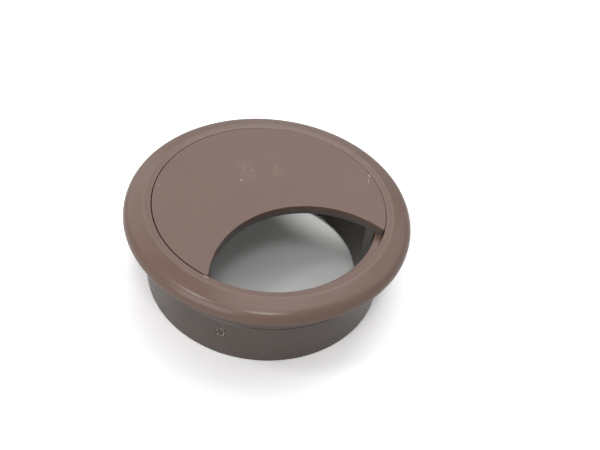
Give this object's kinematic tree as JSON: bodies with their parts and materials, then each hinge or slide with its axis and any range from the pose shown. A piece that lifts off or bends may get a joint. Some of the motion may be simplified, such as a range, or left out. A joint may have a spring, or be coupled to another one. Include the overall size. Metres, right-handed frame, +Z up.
{
  "type": "cable grommet",
  "caption": "Round desk cable grommet: a flanged sleeve for a hole in a desk top, closed by a flush cap with a crescent cable opening.",
  "frame": {"origin": "on the axis of the sleeve, in the plane of the desk top on which the flange rests", "axes": "+Z up along the axis of the sleeve, out of the desk top; -Y towards the cable opening of the cap"},
  "size_m": [0.0692, 0.0692, 0.0233],
  "materials": {
    "ring": "brown moulded plastic, fine satin grain",
    "cap": "brown moulded plastic, fine satin grain"
  },
  "bodies": {
    "root": {"ring": "ring", "cap": "cap"}
  },
  "joints": []
}
